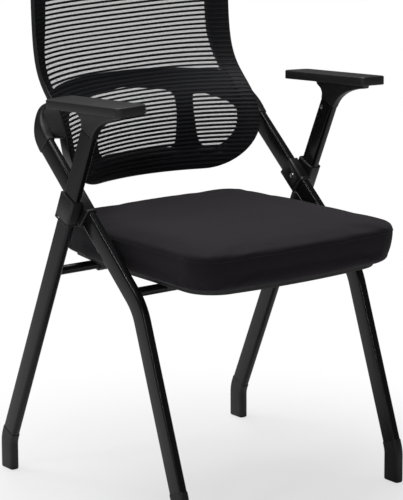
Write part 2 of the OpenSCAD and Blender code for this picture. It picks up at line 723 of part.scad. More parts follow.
// A shell round the tube's end with a rounded hump, and a web from it to the rail
module back_bracket() {
  seam = pivot + bracket_reach * back_way;
  normal = [cos(back_tube_angle), -sin(back_tube_angle)];
  behind = front_tube_end + (tube_d / 2 - bulge_r + bracket_wall) * normal + bracket_lap / 2 * back_way;
  before = front_tube_end - (tube_d / 2 - bulge_r + bracket_wall) * normal + bulge_r * back_way;
  upper = front_tube_end + [bulge_back, bulge_up];
  upper_r = bulge_r / 3;
  seat_on_rail = [[rail_y(bracket_low), bracket_low], [rail_y(bracket_low) + rim(bracket_low), bracket_low],
    [rail_y(bracket_high) + rim(bracket_high), bracket_high], [rail_y(bracket_high), bracket_high]];
  color([0.13, 0.13, 0.14]) difference() {
    union() {
      difference() {
        union() {
          hull() {
            translate([front_x, 0, 0]) straight(seam, seam + loose * back_way, bracket_wall, $fn = 24);
            bulge(behind, bulge_r);
            bulge(before, bulge_r);
            bulge(upper, upper_r);
          }
          hull() {
            bulge(before, bulge_r);
            bulge(upper, upper_r);
            translate([back_half + soft_gap, 0, 0]) rotate([90, 0, 90]) linear_extrude(loose)
              polygon(seat_on_rail);
          }
        }
        translate([front_x, 0, 0])
          straight(seam - 2 * tongue_l * back_way, front_tube_end + loose * back_way, running);
      }
      translate([front_x, 0, 0])
        straight(seam - (tongue_l - bracket_lap) * back_way, front_tube_end + overrun * back_way, plug_grow);
    }
    for (z = back_screw_z)
      back_screw_place(1, z) cylinder(h = back_screw_start + soft_gap, r = back_screw_d / 2 + running);
  }
}

module bulge(place, r) {
  translate([0, place[0], place[1]])
    bar_along_x(front_inner, front_x + tube_w / 2 + bracket_wall - bulge_r / 4, r, $fn = 24);
}

// Seat outline: bowed front, rounded corners and sides that draw in towards the rear
seat_corner_steps = 6;
front_corner = [seat_half - seat_front_r, seat_front + seat_bow + seat_front_r];
rear_corner = [seat_rear_half - seat_rear_r, seat_rear - seat_rear_r];
function seat_side(y, inset) = seat_half - inset - (seat_half - seat_rear_half)
  * pow(max(0, (y - seat_taper_y) / (rear_corner[1] - seat_taper_y)), 1.5);
function seat_arc(c, r, from) = [for (i = [0:seat_corner_steps])
  let (a = from + 90 * i / seat_corner_steps) c + r * [cos(a), sin(a)]];
function seat_right(inset) = concat(seat_arc(front_corner, seat_front_r - inset, -90),
  [for (i = [1:5]) let (y = front_corner[1] + (rear_corner[1] - front_corner[1]) * i / 6)
    [seat_side(y, inset), y]],
  seat_arc(rear_corner, seat_rear_r - inset, 0));
function flipped(p) = [for (i = [len(p) - 1:-1:0]) [-p[i][0], p[i][1]]];
function seat_outline(inset) = concat(seat_right(inset), flipped(seat_right(inset)),
  [for (i = [1:5]) let (u = i / 3 - 1)
    [front_corner[0] * u, seat_front + inset + seat_bow * u * u]]);

module seat_pan() {
  color([0.2, 0.2, 0.2]) difference() {
    translate([0, 0, pan_z]) linear_extrude(pan_t) polygon(seat_outline(pan_inset));
    for (side = [-1, 1], p = seat_screw_places)
      translate([side * hinge_x, p, pan_z - overrun])
        cylinder(h = overrun + pan_t - tube_wall, r = seat_screw_d / 2 + running);
  }
}

// Rings of the cushion: height and draw-in as shares, then the crown as shares of the outline
cushion_side_share = [[0, 1], [0.06, 0.6], [0.25, 0.25], [0.55, 0.05], [0.8, 0], [0.93, 0.05], [1, 0.3]];
crown_share = [0.93, 0.82, 0.62, 0.4, 0.2];
seat_middle = [0, (seat_front + seat_rear) / 2];
cushion_z = pan_z + pan_t + soft_gap;

module seat_cushion() {
  edge = seat_outline(cushion_tuck * cushion_side_share[len(cushion_side_share) - 1][1]);
  side_rings = [for (s = cushion_side_share) [for (p = seat_outline(cushion_tuck * s[1]))
    [p[0], p[1], cushion_z + cushion_h * s[0]]]];
  crown_rings = [for (s = crown_share) [for (p = edge) let (q = seat_middle + s * (p - seat_middle))
    [q[0], q[1], cushion_z + cushion_h + cushion_crown * (1 - pow(s, 4))]]];
  color([0.2, 0.19, 0.21])
    capped(concat(side_rings, crown_rings), [seat_middle[0], seat_middle[1], cushion_z],
      [seat_middle[0], seat_middle[1], cushion_z + cushion_h + cushion_crown]);
}

// Places of the seat screws along Y, the first two on the hinges and the last two on the rests
hinge_screw_y = hinge_reach - 2 * seat_screw_d;
rest_reach = cross_d / 2 + 4 * seat_screw_d;
seat_screw_places = [rear_cross_y - hinge_screw_y, rear_cross_y + hinge_screw_y,
  front_cross_y - rest_reach + 1.5 * seat_screw_d, front_cross_y + rest_reach - 1.5 * seat_screw_d];

// A hinge wraps the rear cross tube and its flanges are screwed to the pan
module seat_hinge() {
  outer = cross_d / 2 + hinge_wall;
  color([0.14, 0.14, 0.15]) translate([hinge_x - hinge_w / 2, 0, 0]) difference() {
    union() {
      intersection() {
        translate([0, rear_cross_y, rear_cross_z]) bar_along_x(0, hinge_w, outer);
        translate([0, rear_cross_y - outer, rear_cross_z - outer])
          cube([hinge_w, 2 * outer, pan_z - rear_cross_z + outer]);
      }
      translate([0, rear_cross_y - cross_d / 2, rear_cross_z]) cube([hinge_w, cross_d, pan_z - rear_cross_z]);
      translate([0, rear_cross_y - hinge_reach, pan_z - hinge_flange])
        cube([hinge_w, 2 * hinge_reach, hinge_flange]);
    }
    translate([0, rear_cross_y, rear_cross_z])
      bar_along_x(-overrun, hinge_w + overrun, cross_d / 2 + running);
    for (p = [seat_screw_places[0], seat_screw_places[1]]) screw_bore(p);
  }
}

module screw_bore(y) {
  translate([hinge_w / 2, y, pan_z - 2 * hinge_flange - overrun])
    cylinder(h = 2 * (hinge_flange + overrun), r = seat_screw_d / 2 + running);
}

// A rest sits on the front cross tube and hooks over its front, so the legs can't spread
module seat_rest() {
  r = cross_d / 2 + running;
  lip = hinge_wall;
  half_angle = 45;
  color([0.14, 0.14, 0.15]) translate([hinge_x - hinge_w / 2, 0, 0]) difference() {
    union() {
      translate([0, front_cross_y - rest_reach, pan_z - hinge_flange])
        cube([hinge_w, 2 * rest_reach, hinge_flange]);
      translate([0, front_cross_y - r - lip, front_cross_z - lip])
        cube([hinge_w, lip + r + r * cos(half_angle), pan_z - front_cross_z + lip]);
    }
    translate([0, front_cross_y, front_cross_z]) bar_along_x(-overrun, hinge_w + overrun, r);
    translate([-overrun, front_cross_y - r, front_cross_z - lip - overrun])
      cube([hinge_w + 2 * overrun, 2 * r + overrun, lip + overrun]);
    translate([-overrun, front_cross_y, front_cross_z - overrun])
      cube([hinge_w + 2 * overrun, r + overrun, overrun + r * sin(half_angle)]);
    for (p = [seat_screw_places[2], seat_screw_places[3]]) screw_bore(p);
  }
}

module seat_screw(y) {
  color("silver") translate([hinge_x, y, 0]) {
    translate([0, 0, pan_z - hinge_flange])
      cylinder(h = hinge_flange + pan_t - 2 * tube_wall, r = seat_screw_d / 2);
    translate([0, 0, pan_z - hinge_flange - seat_screw_head]) cylinder(h = seat_screw_head, r = seat_screw_d);
  }
}

module both() {
  children();
  left() children();
}

left() front_tube();  // front_tube_left
front_tube();  // front_tube_right
cross_tube(front_cross_y, front_cross_z, front_inner);  // front_cross_tube
left() front_collar();  // front_collar_left
front_collar();  // front_collar_right
left() boot(front_x, front_path, front_bends);  // front_boot_left
boot(front_x, front_path, front_bends);  // front_boot_right
left() rear_tube();  // rear_tube_left
rear_tube();  // rear_tube_right
cross_tube(rear_cross_y, rear_cross_z, rear_inner);  // rear_cross_tube
left() rear_collar();  // rear_collar_left
rear_collar();  // rear_collar_right
left() boot(rear_x, rear_path, rear_bends);  // rear_boot_left
boot(rear_x, rear_path, rear_bends);  // rear_boot_right
left() pivot_bolt();  // pivot_bolt_left
pivot_bolt();  // pivot_bolt_right
left() pivot_nut();  // pivot_nut_left
pivot_nut();  // pivot_nut_right
left() pivot_bush();  // pivot_bush_left
pivot_bush();  // pivot_bush_right
both() collar_screw();  // collar_screws
left() arm_stem();  // arm_stem_left
arm_stem();  // arm_stem_right
left() arm_pad();  // arm_pad_left
arm_pad();  // arm_pad_right
both() arm_screw_set();  // arm_screws
back_frame();
back_mesh();
lumbar_plate();
left() back_bracket();  // back_bracket_left
back_bracket();  // back_bracket_right
for (side = [-1, 1], z = back_screw_z) back_screw(side, z);  // back_screws
seat_pan();
seat_cushion();
left() seat_hinge();  // seat_hinge_left
seat_hinge();  // seat_hinge_right
left() seat_rest();  // seat_rest_left
seat_rest();  // seat_rest_right
both() for (p = seat_screw_places) seat_screw(p);  // seat_screws
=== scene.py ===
import bmesh
import bpy
import json
from math import atan2, ceil, cos, pi, radians, sin, sqrt, tan
from mathutils import Matrix, Vector
from mathutils.bvhtree import BVHTree


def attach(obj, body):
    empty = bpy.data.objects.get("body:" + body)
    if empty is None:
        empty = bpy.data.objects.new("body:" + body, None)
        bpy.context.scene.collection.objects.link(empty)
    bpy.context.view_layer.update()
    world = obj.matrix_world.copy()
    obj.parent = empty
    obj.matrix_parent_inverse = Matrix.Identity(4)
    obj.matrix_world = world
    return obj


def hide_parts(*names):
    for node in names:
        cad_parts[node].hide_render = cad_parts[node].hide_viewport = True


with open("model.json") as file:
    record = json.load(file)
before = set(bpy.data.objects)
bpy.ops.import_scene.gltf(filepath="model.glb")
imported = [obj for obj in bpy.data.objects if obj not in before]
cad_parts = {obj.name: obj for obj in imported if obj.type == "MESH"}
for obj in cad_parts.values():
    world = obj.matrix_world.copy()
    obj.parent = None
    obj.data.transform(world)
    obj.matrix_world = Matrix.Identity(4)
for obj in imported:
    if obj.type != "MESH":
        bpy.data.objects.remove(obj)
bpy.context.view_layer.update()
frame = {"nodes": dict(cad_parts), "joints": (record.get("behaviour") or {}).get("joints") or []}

# The studio: a pale floor that fades into white, soft lamps above and to the left, and the photograph's camera.
# None of it belongs to the chair. Metres throughout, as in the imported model.
eye = Vector((-2.3671, -3.1127, 1.2908))
eye_turn, eye_down, eye_roll = radians(-36.95), radians(10.5), radians(-0.29)
lens, sensor, shift_x, shift_y, view_depth = 208.4, 36, 0.0069, -0.2317, 60
floor_radius, floor_sides, floor_drop = 14, 96, 0.0004
fade_start, fade_end, fade_least, room_light = 0.3, 0.75, 0.68, 0.1


def linear(code):
    """An sRGB hex colour turned to linear light."""
    parts = [int(code[i:i + 2], 16) / 255 for i in (1, 3, 5)]
    return tuple(c / 12.92 if c <= 0.04045 else ((c + 0.055) / 1.055) ** 2.4 for c in parts) + (1.0,)


def add(tree, kind, links=None, **settings):
    """Adds a node with its settings; links maps a socket to a value or to the output that feeds it."""
    made = tree.nodes.new(kind)
    for name, value in settings.items():
        setattr(made, name, value)
    for socket, value in (links or {}).items():
        if isinstance(value, bpy.types.NodeSocket):
            tree.links.new(value, made.inputs[socket])
        else:
            made.inputs[socket].default_value = value
    return made


def start_material(name):
    """A cleared material with its tree and the object's own coordinates."""
    made = bpy.data.materials.new(name)
    made.use_nodes = True
    made.node_tree.nodes.clear()
    return made, made.node_tree, add(made.node_tree, "ShaderNodeTexCoord").outputs["Object"]


def place_object(name, data):
    """An object made of its data and put in the scene."""
    made = bpy.data.objects.new(name, data)
    bpy.context.scene.collection.objects.link(made)
    return made


def lamp(name, place, target, width, length, power):
    """A soft lamp of a width and length that faces a point."""
    data = bpy.data.lights.new(name, "AREA")
    data.shape, data.size, data.size_y, data.energy = "RECTANGLE", width, length, power
    way = Vector(target) - Vector(place)
    turned = way.to_track_quat("-Z", "Y").to_matrix().to_4x4()
    place_object(name, data).matrix_world = Matrix.Translation(place) @ turned


camera_data = bpy.data.cameras.new("camera")
camera_data.sensor_fit, camera_data.sensor_width, camera_data.lens = "HORIZONTAL", sensor, lens
camera_data.shift_x, camera_data.shift_y = shift_x, shift_y
camera_data.clip_end = view_depth
camera = place_object("camera", camera_data)
camera.matrix_world = (Matrix.Translation(eye) @ Matrix.Rotation(eye_turn, 4, "Z")
                       @ Matrix.Rotation(pi / 2 - eye_down, 4, "X") @ Matrix.Rotation(eye_roll, 4, "Z"))
bpy.context.scene.camera = camera

floor_mesh = bpy.data.meshes.new("floor")
bm = bmesh.new()
bmesh.ops.create_circle(bm, cap_ends=True, segments=floor_sides, radius=floor_radius)
bmesh.ops.translate(bm, verts=bm.verts, vec=(0, 0, -floor_drop))
bm.to_mesh(floor_mesh)
bm.free()
floor = place_object("floor", floor_mesh)
paper, tree, place = start_material("pale paper sweep")
distance = add(tree, "ShaderNodeVectorMath", {0: place}, operation="LENGTH").outputs["Value"]
fade = add(tree, "ShaderNodeMapRange",
           {"Value": distance, "From Min": fade_start, "From Max": fade_end, "To Min": fade_least},
           interpolation_type="SMOOTHSTEP").outputs["Result"]
seen = add(tree, "ShaderNodeLightPath").outputs["Is Camera Ray"]
white = add(tree, "ShaderNodeMath", {0: fade, 1: seen}, operation="MULTIPLY").outputs[0]
dull = add(tree, "ShaderNodeBsdfDiffuse", {"Color": linear("#f1f1f1")}).outputs[0]
bright = add(tree, "ShaderNodeEmission", {"Color": linear("#ffffff"), "Strength": 1.0}).outputs[0]
mixed = add(tree, "ShaderNodeMixShader", {0: white, 1: dull, 2: bright}).outputs[0]
add(tree, "ShaderNodeOutputMaterial", {"Surface": mixed})
floor_mesh.materials.append(paper)

world = bpy.data.worlds.new("white room")
bpy.context.scene.world = world
world.use_nodes = True
tree = world.node_tree
tree.nodes.clear()
path = add(tree, "ShaderNodeLightPath").outputs
shown = add(tree, "ShaderNodeMath", {0: path["Is Camera Ray"], 1: path["Is Transmission Ray"]},
            operation="MAXIMUM").outputs[0]
room = add(tree, "ShaderNodeBackground", {"Color": linear("#ffffff"), "Strength": room_light}).outputs[0]
backdrop = add(tree, "ShaderNodeBackground", {"Color": linear("#ffffff"), "Strength": 1.0}).outputs[0]
both = add(tree, "ShaderNodeMixShader", {0: shown, 1: room, 2: backdrop}).outputs[0]
add(tree, "ShaderNodeOutputWorld", {"Surface": both})
bpy.context.scene.view_settings.view_transform = "Standard"

lamp("top box", (-0.1, 0.6, 3.2), (0, 0, 0.4), 2.0, 2.0, 80)
lamp("left strip", (-2.9, -0.15, 2.9), (-0.2, 0, 0.45), 0.1, 1.0, 13)
lamp("side strip", (-3.2, -2.1, 1.4), (0, 0, 0.3), 0.1, 1.2, 11)

# The front frame: two flattened steel tubes, bent at the knee and again above the foot, and a round cross tube.
# They are powder coated: a satin black skin with a faint orange peel that shows as a soft glint along the corners.
tube_w, tube_d, tube_r = 0.015, 0.034, 0.005
front_x, front_reach = 0.2295, 0.148
knee_z, knee_r = 0.3584, 0.094
ankle_z, ankle_r, sole = 0.055, 0.050, 0.007
back_tube_angle, front_leg_angle = radians(49), radians(19.6)
hands = ((-1, "left"), (1, "right"))
pivot = Vector((frame["joints"][0]["pos_m"][1], frame["joints"][0]["pos_m"][2]))
back_way = Vector((sin(back_tube_angle), cos(back_tube_angle)))
knee = Vector((pivot.x - (pivot.y - knee_z) * tan(back_tube_angle), knee_z))
front_ankle = Vector((knee.x - (knee_z - ankle_z) * tan(front_leg_angle), ankle_z))
front_points = [Vector((front_ankle.x, sole)), front_ankle, knee, pivot + front_reach * back_way]
front_bends = [0, ankle_r, knee_r, 0]


def heading(a, b):
    """Angle of the way from a to b, from +Y towards +Z."""
    return atan2(b.y - a.y, b.x - a.x)


def stations(points, radii, step=radians(3)):
    """Places along a bent centre line in the Y-Z plane, each with its heading."""
    found = [(points[0], heading(points[0], points[1]))]
    for i in range(1, len(points) - 1):
        way = heading(points[i - 1], points[i])
        turn = heading(points[i], points[i + 1]) - way
        side = 1 if turn > 0 else -1
        start = points[i] + (points[i - 1] - points[i]).normalized() * radii[i] * tan(abs(turn) / 2)
        centre = start + side * radii[i] * Vector((-sin(way), cos(way)))
        count = ceil(abs(turn) / step)
        for k in range(count + 1):
            h = way + turn * k / count
            found.append((centre - side * radii[i] * Vector((-sin(h), cos(h))), h))
    found.append((points[-1], heading(points[-2], points[-1])))
    return found


def round_box(u, v, r, turns):
    """A rectangle with round corners: u and v reach to the corners' centres, r is their radius."""
    found = []
    for q in range(4):
        for k in range(turns + 1):
            a = pi / 2 * (q + k / turns)
            found.append(((u if q in (0, 3) else -u) + r * cos(a), (v if q < 2 else -v) + r * sin(a)))
    return found


def tube_ring(x, station, grow=0.0, turns=5):
    """The flattened section at a station, grown all round."""
    (y, z), h = station
    box = round_box(tube_w / 2 - tube_r, tube_d / 2 - tube_r, tube_r + grow, turns)
    return [(x + across, y + deep * sin(h), z - deep * cos(h)) for across, deep in box]


def skin(rings, closed=False):
    """A skin drawn through rings of points, one ring extruded into the next, then closed or capped."""
    bm = bmesh.new()
    current = [bm.verts.new(p) for p in rings[0]]
    first = loop = [bm.edges.new(pair) for pair in zip(current, current[1:] + current[:1])]
    for ring in rings[1:]:
        made = bmesh.ops.extrude_edge_only(bm, edges=loop)["geom"]
        new = {v for v in made if isinstance(v, bmesh.types.BMVert)}
        current = [next(e.other_vert(v) for e in v.link_edges if e.other_vert(v) in new) for v in current]
        for v, p in zip(current, ring):
            v.co = p
        loop = [e for e in made if isinstance(e, bmesh.types.BMEdge) and e.verts[0] in new and e.verts[1] in new]
    if closed:
        bmesh.ops.bridge_loops(bm, edges=first + loop)
    else:
        bmesh.ops.edgeloop_fill(bm, edges=first)
        bmesh.ops.edgeloop_fill(bm, edges=loop)
    return bm


def finish(bm, name, body, material, *nodes, sharp=35, slot=None):
    """Makes the object, smooth but for edges sharper than an angle, parents it to its body and hides the nodes it
    stands for.
    """
    bmesh.ops.recalc_face_normals(bm, faces=bm.faces)
    mesh = bpy.data.meshes.new(name)
    bm.to_mesh(mesh)
    bm.free()
    mesh.materials.append(material)
    mesh.shade_smooth()
    mesh.set_sharp_from_angle(angle=radians(sharp))
    made = place_object(name, mesh)
    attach(made, body)
    if nodes:
        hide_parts(*nodes)
    return made


def soften(name, material, width=0.0002):
    """A carried-over node gets its finish, smooth shading and a fine rounded edge."""
    node = frame["nodes"][name]
    node.data.materials.clear()
    node.data.materials.append(material)
    node.data.shade_smooth()
    weld = node.modifiers.new("weld", "WELD")
    weld.merge_threshold = 0.000002
    edge = node.modifiers.new("edge", "BEVEL")
    edge.width, edge.segments, edge.limit_method = width, 2, "ANGLE"
    edge.angle_limit, edge.harden_normals = radians(25), True


def noise(tree, place, size, detail):
    """A cloudy pattern of a size."""
    return add(tree, "ShaderNodeTexNoise", {"Vector": place, "Scale": 1 / size, "Detail": detail}).outputs["Fac"]


def spread(tree, pattern, low, high):
    """A value that a pattern moves between two limits."""
    return add(tree, "ShaderNodeMapRange", {"Value": pattern, "To Min": low, "To Max": high}).outputs["Result"]


def tint(tree, pattern, first, second):
    """A colour that a pattern moves between two."""
    return add(tree, "ShaderNodeMix", {0: pattern, "A": linear(first), "B": linear(second)},
               data_type="RGBA").outputs["Result"]


def relief(tree, pattern, strength, depth=0.0002):
    """The normals of a fine relief."""
    links = {"Height": pattern, "Strength": strength, "Distance": depth}
    return add(tree, "ShaderNodeBump", links).outputs["Normal"]


def shade(tree, colour, roughness, more):
    """Ends a material with its shader."""
    shader = add(tree, "ShaderNodeBsdfPrincipled", {"Base Color": colour, "Roughness": roughness, **more})
    add(tree, "ShaderNodeOutputMaterial", {"Surface": shader.outputs[0]})


# Powder-coated steel: an opaque polyester skin, satin, with an orange peel about 1.5 mm across.
powder_coat, tree, place = start_material("black powder coat")
peel = noise(tree, place, 0.0015, 2.0)
handled = noise(tree, place, 0.06, 4.0)
shade(tree, tint(tree, handled, "#0e0e0f", "#151516"), spread(tree, handled, 0.17, 0.25),
      {"Normal": relief(tree, peel, 0.06), "Specular IOR Level": 0.34})


def legs(kind, x, points, bends):
    """A frame's two bent tubes."""
    for side, word in hands:
        rings = [tube_ring(side * x, s) for s in stations(points, bends)]
        finish(skin(rings), kind + "_leg_" + word, kind + "_frame", powder_coat,
               kind + "_tube_" + word, slot="black_steel")


legs("front", front_x, front_points, front_bends)
soften("front_cross_tube", powder_coat)

# The rear frame: two more flattened tubes that lean forward past the pivot to the arms, and their cross tube.
# The same coated steel.
rear_x, rear_reach, rear_leg_angle = 0.256, 0.1496, radians(24.3)
arm_way = Vector((-sin(rear_leg_angle), cos(rear_leg_angle)))
rear_ankle = Vector((pivot.x + (pivot.y - ankle_z) * tan(rear_leg_angle), ankle_z))
rear_top = pivot + rear_reach * arm_way
rear_points = [Vector((rear_ankle.x, sole)), rear_ankle, rear_top]
legs("rear", rear_x, rear_points, [0, ankle_r, 0])
soften("rear_cross_tube", powder_coat)

# The boots: moulded polypropylene sleeves pushed over the foot of each tube, with a rounded sole.
# A fine spark-eroded grain makes them duller than the tubes.
boot_h, boot_wall, boot_round, boot_round_steps = 0.071, 0.001, 0.003, 4
boot_lip, boot_gap = 0.0006, 0.0001
boot_plastic, tree, place = start_material("moulded black polypropylene")
grain = noise(tree, place, 0.0008, 3.0)
scuff = noise(tree, place, 0.02, 5.0)
shade(tree, tint(tree, scuff, "#111112", "#191919"), spread(tree, scuff, 0.42, 0.58),
      {"Normal": relief(tree, grain, 0.25), "IOR": 1.49})

for kind, x, points in (("front", front_x, front_points), ("rear", rear_x, rear_points)):
    way = (points[2] - points[1]).normalized()
    top = points[1] + way * (boot_h - ankle_z) / way.y
    inner = stations([points[0], points[1], top], [0, ankle_r, 0])
    outer = stations([Vector((points[0].x, boot_round)), points[1], top], [0, ankle_r, 0])
    for side, word in hands:
        rings = []
        for a in (pi / 2 * k / boot_round_steps for k in range(boot_round_steps + 1)):
            sole_edge = (Vector((points[0].x, boot_round * (1 - cos(a)))), pi / 2)
            rings.append(tube_ring(side * x, sole_edge, boot_wall - boot_round * (1 - sin(a))))
        rings += [tube_ring(side * x, s, boot_wall) for s in outer[1:-1]]
        rings.append(tube_ring(side * x, (top - boot_lip * way, outer[-1][1]), boot_wall))
        rings.append(tube_ring(side * x, outer[-1], boot_wall - boot_lip))
        rings += [tube_ring(side * x, s, boot_gap) for s in inner[::-1]]
        finish(skin(rings), kind + "_sleeve_" + word, kind + "_frame", boot_plastic,
               kind + "_boot_" + word, slot="boot_plastic")

# The pivot: a moulded nylon collar on each tube, a bolt with a domed head, a bush between the collars and a nut.
# The nylon is black with a fine grain; the bolt, nut and screws are zinc plated.
collar_nylon, tree, place = start_material("moulded black nylon")
grain = noise(tree, place, 0.0006, 3.0)
flow = noise(tree, place, 0.03, 3.0)
shade(tree, tint(tree, flow, "#0f0f10", "#161617"), spread(tree, flow, 0.38, 0.52),
      {"Normal": relief(tree, grain, 0.3), "IOR": 1.53})

# Zinc plate: bright steel with a faint brushed unevenness, which gives the small glints at the pivots.
zinc, tree, place = start_material("zinc-plated steel")
spangle = noise(tree, place, 0.001, 2.0)
shade(tree, tint(tree, spangle, "#c4c5c8", "#dadbdd"), spread(tree, spangle, 0.22, 0.38), {"Metallic": 1.0})

# Natural nylon: the bush's own greyish colour, hardly seen between the collars.
natural_nylon, tree, place = start_material("natural nylon")
shade(tree, tint(tree, noise(tree, place, 0.004, 2.0), "#2c2c2b", "#343433"), 0.45, {})

for _, word in hands:
    soften("front_collar_" + word, collar_nylon, 0.0008)
    soften("rear_collar_" + word, collar_nylon, 0.0008)
    soften("pivot_bolt_" + word, zinc)
    soften("pivot_nut_" + word, zinc, 0.0003)
    soften("pivot_bush_" + word, natural_nylon)
soften("collar_screws", zinc)

# The arms: a moulded stem plugged into each rear tube spreads into a flange under a flat pad.
# The stem is the same nylon as the collars; the pad is hard, a little greyer and finely pebbled.
pad_l, pad_w, pad_t, pad_r = 0.217, 0.0564, 0.015, 0.011
pad_top, pad_y, pad_tilt = 0.6892, -0.0239, radians(3.1)
pad_roll, pad_slant, pad_in = radians(2.5), 0.1, 0.0015
pad_upper_edge, pad_lower_edge, stem_edge = 0.0022, 0.0012, 0.0025
flange, reach_front, reach_rear = 0.0075, 0.082, 0.042
pull_forward, pull_up, pull_along = 0.2, 0.8, 0.7
front_steps, rear_steps = 18, 12


def on_pad(y, z):
    """A place in the pad's own frame, from the middle of its underside, in the Y-Z plane."""
    return Vector((pad_y + y * cos(pad_tilt) + z * sin(pad_tilt),
                   pad_top - pad_t - y * sin(pad_tilt) + z * cos(pad_tilt)))


def curve(a, b, c, n):
    """A quadratic curve through a corner."""
    return [(1 - t) ** 2 * a + 2 * t * (1 - t) * b + t * t * c for t in (i / n for i in range(n + 1))]


def bevel(bm, edges, width, segments):
    """Rounds edges."""
    bmesh.ops.bevel(bm, geom=edges, offset=width, segments=segments, profile=0.5, affect="EDGES", material=-1)


arm_normal = Vector((cos(rear_leg_angle), sin(rear_leg_angle)))
neck_front, neck_rear = rear_top - tube_d / 2 * arm_normal, rear_top + tube_d / 2 * arm_normal
flange_front, flange_rear = on_pad(-reach_front, -flange), on_pad(reach_rear, -flange)
front_pull = Vector((neck_front.x + pull_forward * (flange_front.x - neck_front.x),
                     neck_front.y + pull_up * (flange_front.y - neck_front.y)))
rear_pull = neck_rear + pull_along * (flange_rear.y - neck_rear.y) * arm_way
stem_outline = [on_pad(-reach_front - flange / 2, 0)] + curve(flange_front, front_pull, neck_front, front_steps)
stem_outline += curve(neck_rear, rear_pull, flange_rear, rear_steps) + [on_pad(reach_rear + flange / 2, 0)]

# Pebbled polypropylene: cells of 1.3 mm, and wear that varies the sheen.
pad_skin, tree, place = start_material("pebbled polypropylene")
pebble = add(tree, "ShaderNodeTexVoronoi", {"Vector": place, "Scale": 1 / 0.0013}).outputs["Distance"]
worn = noise(tree, place, 0.03, 4.0)
shade(tree, tint(tree, worn, "#1c1c1e", "#252527"), spread(tree, worn, 0.44, 0.56),
      {"Normal": relief(tree, pebble, 0.22), "IOR": 1.5})

for side, word in hands:
    bm = bmesh.new()
    outline = bm.faces.new([bm.verts.new((side * rear_x - tube_w / 2, p.x, p.y)) for p in stem_outline])
    pulled = bmesh.ops.extrude_face_region(bm, geom=[outline])["geom"]
    bmesh.ops.translate(bm, verts=[v for v in pulled if isinstance(v, bmesh.types.BMVert)], vec=(tube_w, 0, 0))
    bmesh.ops.recalc_face_normals(bm, faces=bm.faces)
    rims = [e for e in bm.edges if len(e.link_faces) == 2 and abs(e.verts[0].co.x - e.verts[1].co.x) < 0.001
            and e.calc_face_angle(0) > radians(60)]
    bevel(bm, rims, stem_edge, 3)
    finish(bm, "stem_" + word, "rear_frame", collar_nylon, "arm_stem_" + word, slot="black_plastic")

    bm = bmesh.new()
    bmesh.ops.create_cube(bm, size=1)
    bmesh.ops.scale(bm, verts=bm.verts, vec=(pad_w, pad_l, pad_t))
    uprights = [e for e in bm.edges if abs(e.verts[0].co.z - e.verts[1].co.z) > pad_t / 2]
    bevel(bm, uprights, pad_r, 8)
    upper = [e for e in bm.edges if all(v.co.z > 0 for v in e.verts)]
    bevel(bm, upper, pad_upper_edge, 4)
    lower = [e for e in bm.edges if all(v.co.z < -pad_t / 2 + 0.0001 for v in e.verts)]
    bevel(bm, lower, pad_lower_edge, 2)
    for v in bm.verts:
        if v.co.y < 0:
            v.co.y += side * v.co.x * pad_slant
    middle = on_pad(0, pad_t / 2)
    turned = (Matrix.Translation((side * (rear_x - pad_in), middle.x, middle.y))
              @ Matrix.Rotation(-pad_tilt, 4, "X") @ Matrix.Rotation(side * pad_roll, 4, "Y"))
    bmesh.ops.transform(bm, matrix=turned, verts=bm.verts)
    finish(bm, "pad_" + word, "rear_frame", pad_skin, "arm_pad_" + word, slot="arm_pad_plastic")
soften("arm_screws", zinc)

# The back: a moulded nylon rim on a surface that curves both ways. The surface stands in the rails' step above the
# seat and in a dish between the rails, and the rim grows wider and thinner with the height.
back_half, back_draw, back_low, back_high = 0.209, -0.001, 0.506, 0.950
low_r, high_r = 0.095, 0.072
rail_z, rail_soft, rail_low, rail_rise = 0.6625, 0.053, 0.1123, 0.1102
dish_z, dish_soft, dish_deep, dish_fall = 0.728, 0.062, 0.075, 0.053
square_low, square_rise = 2, 4
band_low, band_rise, rim_deep, rim_fall = 0.021, 0.016, 0.028, 0.014
rim_edge, rim_round_steps, rim_flat_steps = 0.004, 4, 5
corner_steps, side_steps, level_steps = 16, 48, 24
low_centre = Vector((back_half - low_r, back_low + low_r))
high_centre = Vector((back_half - back_draw - high_r, back_high - high_r))


def soft_step(t, soft):
    """0 well below nought, 1 well above, with a soft change."""
    return (1 + t / sqrt(t * t + soft * soft)) / 2


def rail_y(z):
    """How far back the rails stand at a height."""
    return rail_low + rail_rise * soft_step(z - rail_z, rail_soft)


def back_y(x, z):
    """The back's surface: a dish that turns into the rails more squarely the higher it is."""
    higher = soft_step(z - dish_z, dish_soft)
    squareness = square_low + square_rise * higher
    return rail_y(z) + (dish_deep - dish_fall * higher) * (1 - min(1, abs(x) / back_half) ** squareness)


def band(z):
    """The rim's width at a height."""
    return band_low + band_rise * soft_step(z - dish_z, dish_soft)


def rim(z):
    """The rim's thickness at a height."""
    return rim_deep - rim_fall * soft_step(z - rail_z, rail_soft)


def half_at(z, inset):
    """Half the back's width at a height, less an inset."""
    if z < low_centre.y:
        return low_centre.x + sqrt(max(0, (low_r - inset) ** 2 - (z - low_centre.y) ** 2))
    if z > high_centre.y:
        return high_centre.x + sqrt(max(0, (high_r - inset) ** 2 - (z - high_centre.y) ** 2))
    return back_half - inset - back_draw * (z - low_centre.y) / (high_centre.y - low_centre.y)


def mirrored(points):
    """The same points on the other side, in reverse order."""
    return [Vector((-p.x, p.y)) for p in points[::-1]]


